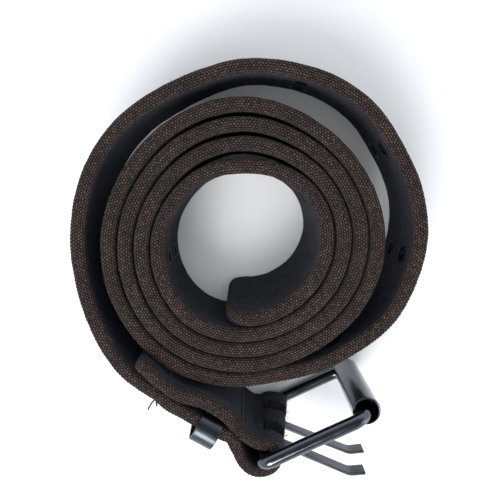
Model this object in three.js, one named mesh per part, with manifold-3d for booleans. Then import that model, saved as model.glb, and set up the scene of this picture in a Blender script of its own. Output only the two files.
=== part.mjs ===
import * as THREE from 'three';
import { mergeVertices } from 'three/addons/utils/BufferGeometryUtils.js';
import Module from 'manifold-3d';

const wasm = await Module();
wasm.setup();

// A rolled webbing gait belt standing on its edge, millimetres, +Z up.
// Everything is drawn from the middle of the coil, on the floor; at the end the belt is moved
// so that the origin is under the middle of its bounding box.

// webbing
const strapWidth = 50;
const strapHalf = 2.7;
const sewnHalf = 2.45;
const loopHalf = 2.1;
const selvedge = 1.2;
const tipRadius = 12;
const stationPitch = 5.196;

// middle line of the coil: its outline every 30 degrees, and how fast it grows there in one turn
const coilOutline = [25.75, 24.2, 21.05, 18.9, 18.9, 19.85, 22.5, 25.2, 27.85, 28.0, 27.3, 26.35];
const turnStep = [6.45, 6.2, 6.6, 7.2, 6.9, 6.6, 6.4, 6.3, 6.15, 6.0, 5.95, 6.45];
const tipAngle = 257;
const coilEnd = 1711;

// the innermost turn sags away from the next one, most of all at this angle
const sag = 1.35;
const sagAngle = 450;
const sagSpread = 28;

// the loose last turn, radius every 15 degrees
const looseStart = 1740;
const looseTurn = [
  58.5, 60.9, 64.8, 66.5, 67.8, 67.4, 66.6, 67.2, 66.1, 64.3,
  63.0, 61.1, 60.6, 61.6, 62.3, 62.5, 62.9, 63.9, 66.0,
];

// the free tail leans in at the floor, less and less away from its tip
const tailLean = 7.5;
const leanLength = 85;

// the loose turn flares out at the floor, growing and then fading along the strap
const flare = 2;
const flareGrows = [1132, 1168];
const flareFades = [1243, 1297];

// the loop round the bar is slack on its open side: a little all the way up, more at its foot
const slack = 1.1;
const footSlack = 6;
const slackAngle = 30;
const slackSpread = 34;
const slackRound = 10;

// the buckle end seen from above: outer layer, loop round the bar, folded-back layer
const outerLayer = [
  [-51.9, -43.2], [-44.2, -52.9], [-37.4, -57.9], [-32.8, -60.9],
  [-27.4, -65.0], [-18.4, -69.9], [-10.0, -74.7], [-4.8, -77.6],
];
const loopEntry = [[-2.3, -82.0], [-0.3, -86.6], [3.0, -89.9]];
const loopExit = [[3.4, -78.6], [0.3, -76.2]];
const foldedLayer = [
  [-2.3, -73.6], [-6.4, -68.5], [-11.1, -65.1], [-15.1, -62.9],
  [-24.6, -60.0], [-30.2, -56.2], [-34.4, -52.6], [-40.2, -46.8],
];

// the buckle end stands clear of the floor, the rest of the strap on it
const buckleRise = 6.75;
const rampLength = 90;

// buckle
const barAt = new THREE.Vector2(7.3, -85.5);
const frameAngle = 25.5;
const frameLength = 43.6;
const frameHalfHeight = 29.05;
const wireRadius = 2.7;
const barBend = 4.2;
const rollerBend = 6;
const buckleMiddle = strapWidth / 2 + buckleRise;
const rollerRadius = 5.4;
const rollerWall = 0.8;
const rollerLength = 50.6;
const rollerDrop = [0.7, 0.45];

// prongs
const prongHeight = 7;
const prongThick = 1.2;
const prongBore = 3.0;
const prongTip = 6.4;
const prongTipBend = 29;
const prongSpacing = 20;
const slotFrom = -72;
const slotTo = 84;
const slotReach = 15;
const prongs = {
  prong_upper: { side: 1, angle: -23.8, reach: 37.7 },
  prong_lower: { side: -1, angle: -22.3, reach: 40.6 },
};

// keeper
const keeperAt = [-14.5, -72.1];
const keeperWidth = 9.2;
const keeperBand = 1;
const keeperGap = 0.55;
const keeperDepth = 12;
const keeperHeight = 56.4;
const keeperCorner = 5.9;

// stitch rows through both layers, by their place on the outer layer
const stitchRows = {
  stitch_row_end: [-32.8, -60.9],
  stitch_row_loop: [-5.0, -77.5],
};
const threadWidth = 1.4;
const threadProud = 0.7;
const threadGap = 0.5;
const threadLeg = 0.8;

// eyelets: angle along the coil of each pair, rows above and below the middle of the strap
const tailEyelets = [393, 484, 557];
const outerEyelets = [1750, 1792, 1831, 1869];
const eyeletRow = 10;
const eyeletFlange = 4.5;
const eyeletBarrel = 3.1;
const eyeletBore = 2.5;
const clearance = 0.3;

const webbing = new THREE.MeshStandardMaterial({ color: 0x3a2a25, roughness: 0.95, metalness: 0 });
const thread = new THREE.MeshStandardMaterial({ color: 0x2b201c, roughness: 0.9, metalness: 0 });
const blackNickel = new THREE.MeshStandardMaterial({ color: 0x3a3d42, roughness: 0.25, metalness: 1 });

const radians = (degrees) => degrees * Math.PI / 180;
const along = (degrees) => new THREE.Vector2(Math.cos(radians(degrees)), Math.sin(radians(degrees)));

// value at x of a smooth curve through evenly spaced knots
function smoothKnots(knots, x, closed) {
  const n = knots.length;
  const at = (k) => (closed ? knots[((k % n) + n) % n] : knots[Math.min(Math.max(k, 0), n - 1)]);
  const k = Math.floor(x);
  const t = x - k;
  const m0 = (at(k + 1) - at(k - 1)) / 2;
  const m1 = (at(k + 2) - at(k)) / 2;
  const a = 2 * at(k) + m0 - 2 * at(k + 1) + m1;
  const b = 3 * at(k + 1) - 3 * at(k) - 2 * m0 - m1;
  return a * t ** 3 + b * t ** 2 + m0 * t + at(k);
}

function coilRadius(degrees) {
  if (degrees > coilEnd) return smoothKnots(looseTurn, (degrees - looseStart) / 15, false);
  const knot = degrees / 30;
  const sagged = sag * Math.exp(-(((degrees - sagAngle) / sagSpread) ** 2));
  return smoothKnots(coilOutline, knot, true) + smoothKnots(turnStep, knot, true) * degrees / 360 - sagged;
}

function coilPoint(degrees) {
  return along(degrees).multiplyScalar(coilRadius(degrees));
}

// how slack the loop is at an angle round the bar, 0 to 1
function slackAt(degrees) {
  const away = Math.hypot(degrees - slackAngle, slackRound) - slackRound;
  return Math.exp(-away / slackSpread);
}

// middle line of the whole strap, from the tail tip to the folded end
function strapLine() {
  const points = [];
  for (let degrees = tipAngle; degrees < coilEnd; degrees += 10) points.push(coilPoint(degrees));
  for (let k = 0; k < looseTurn.length; k++) points.push(coilPoint(looseStart + 15 * k));
  for (const [x, y] of [...outerLayer, ...loopEntry]) points.push(new THREE.Vector2(x, y));
  for (let degrees = -85; degrees <= 90; degrees += 35) {
    const radius = wireRadius + 0.4 + loopHalf + slack * slackAt(degrees);
    points.push(barAt.clone().addScaledVector(along(degrees), radius));
  }
  for (const [x, y] of [...loopExit, ...foldedLayer]) points.push(new THREE.Vector2(x, y));
  return new THREE.CatmullRomCurve3(points.map((p) => new THREE.Vector3(p.x, p.y, 0)), false, 'centripetal');
}

// evenly spaced places along the strap, each with its direction, side, half thickness and rise
function strapStations() {
  const line = strapLine();
  line.arcLengthDivisions = 3000;
  const length = line.getLength();
  const places = [];
  const neck = new THREE.Vector2(...outerLayer.at(-1));
  let s = 0;
  while (s < length) {
    places.push(s);
    const p = line.getPointAt(s / length);
    const atLoop = Math.hypot(p.x - barAt.x, p.y - barAt.y) < 15;
    s += atLoop || s < tipRadius ? stationPitch * 0.4 : stationPitch;
  }
  places.push(length);
  const stations = places.map((distance) => {
    const u = Math.min(distance / length, 1);
    const p = line.getPointAt(u);
    const t = line.getTangentAt(u);
    return { s: distance, at: new THREE.Vector2(p.x, p.y), t: new THREE.Vector2(t.x, t.y).normalize() };
  });
  const neckStation = closest(stations, neck);
  for (const station of stations) {
    const back = neckStation.s - station.s;
    const ramp = THREE.MathUtils.smoothstep(rampLength - back, 0, rampLength);
    const sewn = THREE.MathUtils.smoothstep(60 - back, 0, 25);
    const bar = 1 - THREE.MathUtils.smoothstep(station.at.distanceTo(barAt), 6, 14);
    station.rise = buckleRise * ramp;
    station.half = strapHalf + (sewnHalf - strapHalf) * sewn + (loopHalf - sewnHalf) * bar;
    station.side = new THREE.Vector2(-station.t.y, station.t.x);
    const grown = THREE.MathUtils.smoothstep(station.s, ...flareGrows);
    const faded = THREE.MathUtils.smoothstep(station.s, ...flareFades);
    station.lean = tailLean * Math.max(0, 1 - station.s / leanLength) - flare * grown * (1 - faded);
    const fromBar = station.at.clone().sub(barAt);
    const degrees = Math.atan2(fromBar.y, fromBar.x) * 180 / Math.PI;
    const onLoop = back < 0 ? 1 - THREE.MathUtils.smoothstep(fromBar.length(), 8, 14) : 0;
    station.lean -= footSlack * slackAt(degrees) * onLoop;
  }
  return stations;
}

function closest(stations, point) {
  return stations.reduce((best, s) => (s.at.distanceTo(point) < best.at.distanceTo(point) ? s : best));
}

// outline of the strap at one station: a flat band with eased selvedges
function strapSection(station) {
  const fromTip = Math.min(station.s, tipRadius);
  const corner = tipRadius - Math.sqrt(tipRadius ** 2 - (tipRadius - fromTip) ** 2);
  const halfWidth = strapWidth / 2 - corner;
  const h = station.half;
  const w = halfWidth - selvedge;
  const outline = [
    [h, -w], [h, w], [h - selvedge, halfWidth], [selvedge - h, halfWidth],
    [-h, w], [-h, -w], [selvedge - h, -halfWidth], [h - selvedge, -halfWidth],
  ];
  return outline.map(([across, up]) => {
    const p = onStrap(station, across, up);
    return [p.x, p.y, p.z];
  });
}

// point of the strap at one station, across its thickness and up from its middle
function onStrap(station, across, up) {
  const lean = station.lean * (0.5 - up / strapWidth);
  const p = station.at.clone().addScaledVector(station.side, across + lean);
  return new THREE.Vector3(p.x, p.y, strapWidth / 2 + station.rise + up);
}

// skin through a list of equal outlines, closed at both ends
function skin(outlines) {
  const n = outlines[0].length;
  const index = [];
  for (let k = 0; k + 1 < outlines.length; k++) {
    for (let j = 0; j < n; j++) {
      const a = k * n + j;
      const b = k * n + (j + 1) % n;
      index.push(a, b, b + n, a, b + n, a + n);
    }
  }
  const last = (outlines.length - 1) * n;
  for (let j = 1; j + 1 < n; j++) {
    index.push(0, j + 1, j);
    index.push(last, last + j, last + j + 1);
  }
  const geometry = new THREE.BufferGeometry();
  geometry.setAttribute('position', new THREE.Float32BufferAttribute(outlines.flat(2), 3));
  geometry.setIndex(index);
  return geometry;
}

function toSolid(geometry) {
  const bare = geometry.clone();
  bare.deleteAttribute('normal');
  bare.deleteAttribute('uv');
  const merged = mergeVertices(bare, 1e-4);
  return new wasm.Manifold(new wasm.Mesh({
    numProp: 3,
    vertProperties: new Float32Array(merged.attributes.position.array),
    triVerts: new Uint32Array(merged.index.array),
  }));
}

function toGeometry(solid) {
  const { vertProperties, triVerts } = solid.getMesh();
  const geometry = new THREE.BufferGeometry();
  geometry.setAttribute('position', new THREE.BufferAttribute(vertProperties, 3));
  geometry.setIndex(new THREE.BufferAttribute(triVerts, 1));
  geometry.computeVertexNormals();
  return geometry;
}

// turns a shape's own axes to: x along dir, y along the side of dir, z up, and moves it
function placed(geometry, dir, x, y, z) {
  const basis = new THREE.Matrix4().makeBasis(
    new THREE.Vector3(dir.x, dir.y, 0),
    new THREE.Vector3(-dir.y, dir.x, 0),
    new THREE.Vector3(0, 0, 1),
  );
  return geometry.applyMatrix4(basis).translate(x, y, z);
}

function eyeletProfile(bore, barrel, flange, seat, innerFace, outerFace) {
  const rim = [
    [bore, -innerFace], [flange, -innerFace], [flange, -seat], [barrel, -seat],
    [barrel, seat], [flange, seat], [flange, outerFace], [bore, outerFace],
  ];
  return rim.map(([r, y]) => new THREE.Vector2(r, y));
}

// a spool whose axis runs through the strap; -y of the spool faces the middle of the coil
function eyeletShape() {
  const profile = eyeletProfile(eyeletBore, eyeletBarrel, eyeletFlange, 2.2, 2.75, 2.75);
  profile.push(profile[0].clone());
  return new THREE.LatheGeometry(profile, 10);
}

function eyeletCutter() {
  const c = clearance;
  const profile = eyeletProfile(0, eyeletBarrel + c, eyeletFlange + c, 2.2 - c, 4.2, 2.95);
  return new THREE.LatheGeometry(profile, 10);
}

function eyeletPlaces(stations) {
  const places = [];
  const runs = { tail: tailEyelets, outer: outerEyelets };
  for (const [run, angles] of Object.entries(runs)) {
    angles.forEach((angle, k) => {
      const station = closest(stations, coilPoint(angle));
      for (const [row, side] of [['upper', 1], ['lower', -1]]) {
        const at = onStrap(station, 0, side * eyeletRow);
        places.push({ name: `eyelet_${run}_${k + 1}_${row}`, at, t: station.t });
      }
    });
  }
  return places;
}

// the spool axis (own y) must point away from the coil, so own x runs back along the strap
function seatEyelet(geometry, place) {
  return placed(geometry, place.t.clone().negate(), place.at.x, place.at.y, place.at.z);
}

// block on the line from a to b, measured from the middle of the strap layers
function spanBlock(a, b, from, to, width, height, z) {
  const dir = b.clone().sub(a).normalize();
  const middle = a.clone().addScaledVector(dir, (from + to) / 2);
  return placed(new THREE.BoxGeometry(to - from, width, height), dir, middle.x, middle.y, z);
}

// where a row starts on the outer layer and how far it reaches through the folded one
function rowFrame(place, stations) {
  const a = closest(stations, new THREE.Vector2(...place));
  const folded = stations.filter((s) => s.s > a.s + 40);
  const away = (s) => Math.abs(s.at.clone().sub(a.at).dot(a.t));
  const b = folded.reduce((best, s) => (away(s) < away(best) ? s : best));
  return {
    a: a.at,
    b: a.at.clone().add(a.side),
    from: -a.half - threadGap - threadProud,
    to: b.at.clone().sub(a.at).dot(a.side) + b.half + threadGap + threadProud,
    z: strapWidth / 2 + a.rise,
  };
}

const legHeights = [-18, -6, 6, 18];

function stitchRow(row) {
  const height = strapWidth - 8;
  let solid = toSolid(spanBlock(row.a, row.b, row.from, row.from + threadProud, threadWidth, height, row.z));
  solid = solid.add(toSolid(
    spanBlock(row.a, row.b, row.to - threadProud, row.to, threadWidth, height, row.z)));
  for (const up of legHeights) {
    solid = solid.add(toSolid(
      spanBlock(row.a, row.b, row.from + 0.2, row.to - 0.2, threadLeg, threadLeg, row.z + up)));
  }
  return toGeometry(solid);
}

// wedge round the bar that frees one prong: a ring pocket for its curl and an opening for its swing
function slotCutter(z) {
  const height = prongHeight + 1;
  const curlRadius = prongBore + prongThick + 0.4;
  const pocket = new THREE.CylinderGeometry(curlRadius, curlRadius, height, 32).rotateX(Math.PI / 2);
  const sector = new THREE.Shape();
  sector.moveTo(0, 0);
  for (let degrees = slotFrom; degrees <= slotTo; degrees += 12) {
    const p = along(degrees).multiplyScalar(slotReach);
    sector.lineTo(p.x, p.y);
  }
  sector.closePath();
  const opening = new THREE.ExtrudeGeometry(sector, { depth: height, bevelEnabled: false });
  opening.translate(0, 0, -height / 2);
  return toSolid(pocket).add(toSolid(opening)).translate([barAt.x, barAt.y, z]);
}

function strap(stations, eyelets, rows) {
  let solid = toSolid(skin(stations.map(strapSection)));
  for (const place of eyelets) {
    solid = solid.subtract(toSolid(seatEyelet(eyeletCutter(), place)));
  }
  for (const side of [1, -1]) {
    solid = solid.subtract(slotCutter(buckleMiddle + side * prongSpacing / 2));
  }
  const hole = threadLeg + 2 * clearance;
  for (const row of rows) {
    for (const up of legHeights) {
      solid = solid.subtract(toSolid(
        spanBlock(row.a, row.b, row.from - 1, row.to + 1, hole, hole, row.z + up)));
    }
  }
  return toGeometry(solid);
}

// round wire bent to a rectangle, standing upright: own x runs from the bar to the roller end
function buckleFrame() {
  const h = frameHalfHeight;
  const corner = (right, up, r, from) => {
    const cx = right ? frameLength - r : r;
    const cz = up * (h - r);
    const arc = [];
    for (let k = 0; k <= 5; k++) {
      const a = radians(from + k * 18);
      arc.push(new THREE.Vector2(cx + r * Math.cos(a), cz + r * Math.sin(a)));
    }
    return arc;
  };
  const path = [
    ...corner(true, 1, rollerBend, 0), ...corner(false, 1, barBend, 90),
    ...corner(false, -1, barBend, 180), ...corner(true, -1, rollerBend, 270),
  ];
  const segments = 16;
  const outlines = path.map((p, k) => {
    const before = path[(k + path.length - 1) % path.length];
    const after = path[(k + 1) % path.length];
    const t = after.clone().sub(before).normalize();
    const out = new THREE.Vector2(t.y, -t.x);
    const ring = [];
    for (let j = 0; j < segments; j++) {
      const a = 2 * Math.PI * j / segments;
      const o = wireRadius * Math.cos(a);
      ring.push([p.x + out.x * o, wireRadius * Math.sin(a), p.y + out.y * o]);
    }
    return ring;
  });
  return closedSkin(outlines);
}

// like skin, but the last outline joins the first
function closedSkin(outlines) {
  const n = outlines[0].length;
  const m = outlines.length;
  const index = [];
  for (let k = 0; k < m; k++) {
    for (let j = 0; j < n; j++) {
      const a = k * n + j;
      const b = k * n + (j + 1) % n;
      const c = ((k + 1) % m) * n + j;
      const d = ((k + 1) % m) * n + (j + 1) % n;
      index.push(a, b, d, a, d, c);
    }
  }
  const geometry = new THREE.BufferGeometry();
  geometry.setAttribute('position', new THREE.Float32BufferAttribute(outlines.flat(2), 3));
  geometry.setIndex(index);
  return geometry;
}

function roller() {
  const half = rollerLength / 2;
  const inner = rollerRadius - rollerWall;
  const profile = [
    [inner, -half], [rollerRadius, -half], [rollerRadius, half], [inner, half], [inner, -half],
  ].map(([r, y]) => new THREE.Vector2(r, y));
  return new THREE.LatheGeometry(profile, 32).rotateX(Math.PI / 2);
}

// flat strip curled round the bar; own x points from the bar to the tip
function prong(reach) {
  const outer = prongBore + prongThick;
  const bend = radians(prongTipBend);
  const shape = new THREE.Shape();
  shape.moveTo(0, outer);
  for (let degrees = 102; degrees < 402; degrees += 12) {
    const p = along(degrees).multiplyScalar(outer);
    shape.lineTo(p.x, p.y);
  }
  shape.lineTo(outer * Math.cos(radians(44)), prongBore);
  shape.lineTo(reach, prongBore);
  shape.lineTo(reach + prongTip * Math.cos(bend), prongBore + prongTip * Math.sin(bend));
  const tipTop = new THREE.Vector2(-Math.sin(bend), Math.cos(bend)).multiplyScalar(prongThick);
  shape.lineTo(
    reach + prongTip * Math.cos(bend) + tipTop.x,
    prongBore + prongTip * Math.sin(bend) + tipTop.y,
  );
  shape.lineTo(reach - prongThick * Math.tan(bend / 2), outer);
  shape.closePath();
  const bore = new THREE.Path();
  bore.absarc(0, 0, prongBore, 0, 2 * Math.PI, true);
  shape.holes.push(bore);
  const solid = new THREE.ExtrudeGeometry(shape, {
    depth: prongHeight, bevelEnabled: false, curveSegments: 15,
  });
  return solid.translate(0, 0, -prongHeight / 2);
}

// flat band bent to a tall ring with rounded ends; own x along the strap, y across it
function keeper() {
  const ring = (depth, height, corner) => {
    const path = [];
    const corners = [[1, 1, 0], [-1, 1, 90], [-1, -1, 180], [1, -1, 270]];
    for (const [sx, sy, from] of corners) {
      for (let k = 0; k <= 5; k++) {
        const a = radians(from + k * 18);
        path.push(new THREE.Vector2(
          sx * (depth / 2 - corner) + corner * Math.cos(a),
          sy * (height / 2 - corner) + corner * Math.sin(a),
        ));
      }
    }
    return path;
  };
  const shape = new THREE.Shape(ring(keeperDepth, keeperHeight, keeperCorner));
  const b = keeperBand;
  shape.holes.push(new THREE.Path(ring(keeperDepth - 2 * b, keeperHeight - 2 * b, keeperCorner - b)));
  const solid = new THREE.ExtrudeGeometry(shape, { depth: keeperWidth, bevelEnabled: false });
  solid.translate(0, 0, -keeperWidth / 2);
  // drawn flat: depth along x, height along y, width along z
  const turn = new THREE.Matrix4().makeBasis(
    new THREE.Vector3(0, 1, 0), new THREE.Vector3(0, 0, 1), new THREE.Vector3(1, 0, 0));
  return solid.applyMatrix4(turn);
}

function addMesh(group, name, geometry, material) {
  const mesh = new THREE.Mesh(geometry, material);
  mesh.name = name;
  group.add(mesh);
  return mesh;
}

const belt = new THREE.Group();
belt.name = 'gait_belt';
const stations = strapStations();
const rows = Object.fromEntries(
  Object.entries(stitchRows).map(([name, place]) => [name, rowFrame(place, stations)]));
const eyelets = eyeletPlaces(stations);
addMesh(belt, 'strap', strap(stations, eyelets, Object.values(rows)), webbing);
for (const [name, row] of Object.entries(rows)) addMesh(belt, name, stitchRow(row), thread);
for (const place of eyelets) {
  addMesh(belt, place.name, seatEyelet(eyeletShape(), place), blackNickel);
}

const buckle = new THREE.Group();
buckle.position.set(barAt.x, barAt.y, buckleMiddle);
buckle.rotation.z = radians(frameAngle);
addMesh(buckle, 'buckle_frame', buckleFrame(), blackNickel);
const rollerMesh = addMesh(buckle, 'roller', roller(), blackNickel);
rollerMesh.position.set(frameLength + rollerDrop[0], rollerDrop[1], 0);
belt.add(buckle);

for (const [name, { side, angle, reach }] of Object.entries(prongs)) {
  const mesh = addMesh(belt, name, prong(reach), blackNickel);
  mesh.position.set(barAt.x, barAt.y, buckleMiddle + side * prongSpacing / 2);
  mesh.rotation.z = radians(angle);
}

const keeperStation = closest(stations, new THREE.Vector2(...keeperAt));
const keeperMesh = addMesh(belt, 'keeper', keeper(), blackNickel);
const keeperShift = keeperStation.half + keeperGap + keeperBand - keeperDepth / 2;
keeperMesh.position.copy(onStrap(keeperStation, keeperShift, 0));
keeperMesh.rotation.z = Math.atan2(keeperStation.t.y, keeperStation.t.x);

const box = new THREE.Box3().setFromObject(belt, true);
belt.position.set(-(box.min.x + box.max.x) / 2, -(box.min.y + box.max.y) / 2, 0);

export default belt;
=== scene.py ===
import math
import random

import bpy
import numpy as np
from mathutils import Matrix, Vector


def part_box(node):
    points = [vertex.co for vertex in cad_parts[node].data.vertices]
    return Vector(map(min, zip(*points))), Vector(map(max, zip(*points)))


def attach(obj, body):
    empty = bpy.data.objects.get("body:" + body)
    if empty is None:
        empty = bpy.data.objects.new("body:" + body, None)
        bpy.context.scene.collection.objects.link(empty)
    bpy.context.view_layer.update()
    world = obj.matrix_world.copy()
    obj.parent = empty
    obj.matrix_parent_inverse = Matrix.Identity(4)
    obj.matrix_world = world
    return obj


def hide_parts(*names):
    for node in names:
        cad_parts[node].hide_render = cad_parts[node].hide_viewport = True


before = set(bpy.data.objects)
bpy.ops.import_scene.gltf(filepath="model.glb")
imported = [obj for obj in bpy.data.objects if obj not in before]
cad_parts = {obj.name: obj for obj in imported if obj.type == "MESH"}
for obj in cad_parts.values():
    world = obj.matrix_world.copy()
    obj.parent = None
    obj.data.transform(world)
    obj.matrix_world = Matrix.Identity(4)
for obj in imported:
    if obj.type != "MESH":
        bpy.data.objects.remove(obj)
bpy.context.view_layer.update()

# A rolled webbing belt with a double-prong roller buckle. Sizes are in mm and turn to metres
# when a mesh is made. Places are drawn from the middle of the coil, on the floor.

mm = 0.001
dice = random.Random(7)


def toLinear(hexColour):
    parts = [int(hexColour[i:i + 2], 16) / 255 for i in (1, 3, 5)]
    return tuple(c / 12.92 if c <= 0.04045 else ((c + 0.055) / 1.055) ** 2.4 for c in parts) + (1,)


def smoothStep(x, low, high):
    t = np.clip((np.asarray(x, float) - low) / (high - low), 0, 1)
    return t * t * (3 - 2 * t)


def direction(degrees):
    return np.array([math.cos(math.radians(degrees)), math.sin(math.radians(degrees))])


# the middle line of the strap, seen from above: coil, loose turn, outer layer, loop, folded layer
route = {
    "coilOutline": [25.75, 24.2, 21.05, 18.9, 18.9, 19.85, 22.5, 25.2, 27.85, 28.0, 27.3, 26.35],
    "turnStep": [6.45, 6.2, 6.6, 7.2, 6.9, 6.6, 6.4, 6.3, 6.15, 6.0, 5.95, 6.45],
    "tipAngle": 257, "coilEnd": 1711, "looseStart": 1740,
    "looseTurn": [58.5, 60.9, 64.8, 66.5, 67.8, 67.4, 66.6, 67.2, 66.1, 64.3,
                  63.0, 61.1, 60.6, 61.6, 62.3, 62.5, 62.9, 63.9, 66.0],
    "outerLayer": [(-51.9, -43.2), (-44.2, -52.9), (-37.4, -57.9), (-32.8, -60.9),
                   (-27.4, -65.0), (-18.4, -69.9), (-10.0, -74.7), (-4.8, -77.6)],
    "loopEntry": [(-2.3, -82.0), (-0.3, -86.6), (3.0, -89.9)],
    "loopRadius": 5.2,
    "loopExit": [(3.4, -78.6), (0.3, -76.2)],
    "foldedLayer": [(-2.3, -73.6), (-6.4, -68.5), (-11.1, -65.1), (-15.1, -62.9),
                    (-24.6, -60.0), (-30.2, -56.2), (-34.4, -52.6), (-40.2, -46.8)],
    "bar": (7.3, -85.5),
    "buckleRise": 6.75, "rampLength": 90, "tailLean": 7.5, "leanLength": 85,
    "sag": 1.35, "sagAngle": 450, "sagSpread": 28,
    "flare": 2.0, "flareGrows": (1132, 1168), "flareFades": (1243, 1297),
    "slack": 1.1, "footSlack": 6.0, "slackAngle": 30, "slackSpread": 34, "slackRound": 10,
}
bar = np.array(route["bar"])


def smoothKnots(knots, x, closed):
    n = len(knots)
    k = math.floor(x)
    t = x - k
    a, b, c, d = (knots[(k + i) % n] if closed else knots[min(max(k + i, 0), n - 1)]
                  for i in (-1, 0, 1, 2))
    m0, m1 = (c - a) / 2, (d - b) / 2
    return (2 * b + m0 - 2 * c + m1) * t ** 3 + (3 * c - 3 * b - 2 * m0 - m1) * t * t + m0 * t + b


def coilPoint(degrees):
    if degrees > route["coilEnd"]:
        radius = smoothKnots(route["looseTurn"], (degrees - route["looseStart"]) / 15, False)
    else:
        radius = (smoothKnots(route["coilOutline"], degrees / 30, True)
                  + smoothKnots(route["turnStep"], degrees / 30, True) * degrees / 360
                  - route["sag"] * math.exp(-((degrees - route["sagAngle"]) / route["sagSpread"]) ** 2))
    return direction(degrees) * radius


def slackAt(degrees):
    # the loop round the bar is slack on its open side
    away = np.hypot(degrees - route["slackAngle"], route["slackRound"]) - route["slackRound"]
    return np.exp(-away / route["slackSpread"])


def routePoints():
    points = [coilPoint(a) for a in range(route["tipAngle"], route["coilEnd"], 10)]
    points += [coilPoint(route["looseStart"] + 15 * k) for k in range(len(route["looseTurn"]))]
    points += [np.array(p) for p in route["outerLayer"] + route["loopEntry"]]
    points += [bar + direction(a) * (route["loopRadius"] + route["slack"] * slackAt(a))
               for a in range(-85, 91, 35)]
    points += [np.array(p) for p in route["loopExit"] + route["foldedLayer"]]
    return points


def throughPoints(points, pieces=60):
    # centripetal Catmull-Rom, as in the part's own drawing
    points = [2 * points[0] - points[1], *points, 2 * points[-1] - points[-2]]
    line = []
    for a, b, c, d in zip(points, points[1:], points[2:], points[3:]):
        s0, s1, s2 = (max(np.linalg.norm(q - p) ** 0.5, 1e-4) for p, q in ((a, b), (b, c), (c, d)))
        t1 = ((b - a) / s0 - (c - a) / (s0 + s1) + (c - b) / s1) * s1
        t2 = ((c - b) / s1 - (d - b) / (s1 + s2) + (d - c) / s2) * s1
        for t in np.arange(pieces) / pieces:
            line.append(b + t1 * t + (3 * (c - b) - 2 * t1 - t2) * t * t
                        + (2 * (b - c) + t1 + t2) * t ** 3)
    line.append(points[-2])
    return np.array(line)


line = throughPoints(routePoints())
lineRun = np.concatenate([[0], np.cumsum(np.linalg.norm(np.diff(line, axis=0), axis=1))])
strapLength = float(lineRun[-1])


def onLine(run):
    at = np.stack([np.interp(run, lineRun, line[:, i]) for i in (0, 1)], -1)
    ahead = np.stack([np.interp(np.asarray(run) + 0.6, lineRun, line[:, i]) for i in (0, 1)], -1)
    behind = np.stack([np.interp(np.asarray(run) - 0.6, lineRun, line[:, i]) for i in (0, 1)], -1)
    t = ahead - behind
    return at, t / np.linalg.norm(t, axis=-1, keepdims=True)


def runNear(point, low=0.0, high=1e9):
    far = np.linalg.norm(line - np.array(point), axis=1) + 1e6 * ((lineRun < low) | (lineRun > high))
    return float(lineRun[far.argmin()])


neckRun = runNear(route["outerLayer"][-1])
print("strap length", round(strapLength, 1), "mm, neck at", round(neckRun, 1))

# the coil's middle in the shared frame, worked out from the roller, which stands upright
rollerPlace = {"frameAngle": 25.5, "along": 44.3, "aside": 0.45}
rollerLow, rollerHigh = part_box("roller")
ahead = direction(rollerPlace["frameAngle"])
besides = np.array([-ahead[1], ahead[0]])
rollerAt = bar + ahead * rollerPlace["along"] + besides * rollerPlace["aside"]
coilMiddle = np.array([(rollerLow[i] + rollerHigh[i]) / 2 / mm - rollerAt[i] for i in (0, 1)])
print("coil middle in the frame", coilMiddle.round(3))


def addObject(name, points, faces, material, uvs=None, smooth=True):
    places = (np.asarray(points, float).reshape(-1, 3) + [*coilMiddle, 0]) * mm
    mesh = bpy.data.meshes.new(name)
    mesh.from_pydata(places.tolist(), [], faces)
    if uvs is not None:
        layer = mesh.uv_layers.new(name="weave")
        layer.data.foreach_set("uv", np.asarray(uvs, np.float32).ravel())
    mesh.polygons.foreach_set("use_smooth", [smooth] * len(mesh.polygons))
    mesh.materials.append(material)
    mesh.update()
    thing = bpy.data.objects.new(name, mesh)
    bpy.context.collection.objects.link(thing)
    return thing


def gridFaces(rows, columns, wrapRows=False, first=0, turn=False):
    # quads of a grid whose columns run round
    faces = []
    for k in range(rows if wrapRows else rows - 1):
        a, b = k * columns, ((k + 1) % rows) * columns
        for j in range(columns):
            n = (j + 1) % columns
            quad = (a + j, a + n, b + n, b + j)
            faces.append(tuple(first + i for i in (quad[::-1] if turn else quad)))
    return faces


def tube(path, radius, sides=8, closed=False, first=0):
    # round tube through 3-D points, radius may vary along it; returns points and faces
    path = np.asarray(path, float)
    n = len(path)
    radius = np.broadcast_to(np.asarray(radius, float), (n,))
    t = np.roll(path, -1, 0) - np.roll(path, 1, 0)
    if not closed:
        t[0], t[-1] = path[1] - path[0], path[-1] - path[-2]
    t /= np.linalg.norm(t, axis=1, keepdims=True)
    up = np.array([0, 0, 1.0]) if abs(t[0][2]) < 0.8 else np.array([1.0, 0, 0])
    points = []
    for k in range(n):
        across = np.cross(t[k], up)
        across /= np.linalg.norm(across)
        up = np.cross(across, t[k])
        for j in range(sides):
            a = 2 * math.pi * j / sides
            points.append(path[k] + radius[k] * (math.cos(a) * across + math.sin(a) * up))
    faces = gridFaces(n, sides, closed, first)
    if not closed:
        faces.append(tuple(first + j for j in reversed(range(sides))))
        faces.append(tuple(first + (n - 1) * sides + j for j in range(sides)))
    return points, faces


def manyTubes(name, paths, material, sides=6):
    # paths is a list of (points, radius)
    points, faces = [], []
    for path, radius in paths:
        more, quads = tube(path, radius, sides, first=len(points))
        points += more
        faces += quads
    return addObject(name, points, faces, material)


def placed(points, degrees, x, y, z):
    # own x to that direction, own y to its side, own z up
    points = np.asarray(points, float)
    d = direction(degrees)
    out = np.empty_like(points)
    out[:, 0] = x + points[:, 0] * d[0] - points[:, 1] * d[1]
    out[:, 1] = y + points[:, 0] * d[1] + points[:, 1] * d[0]
    out[:, 2] = z + points[:, 2]
    return out


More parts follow.
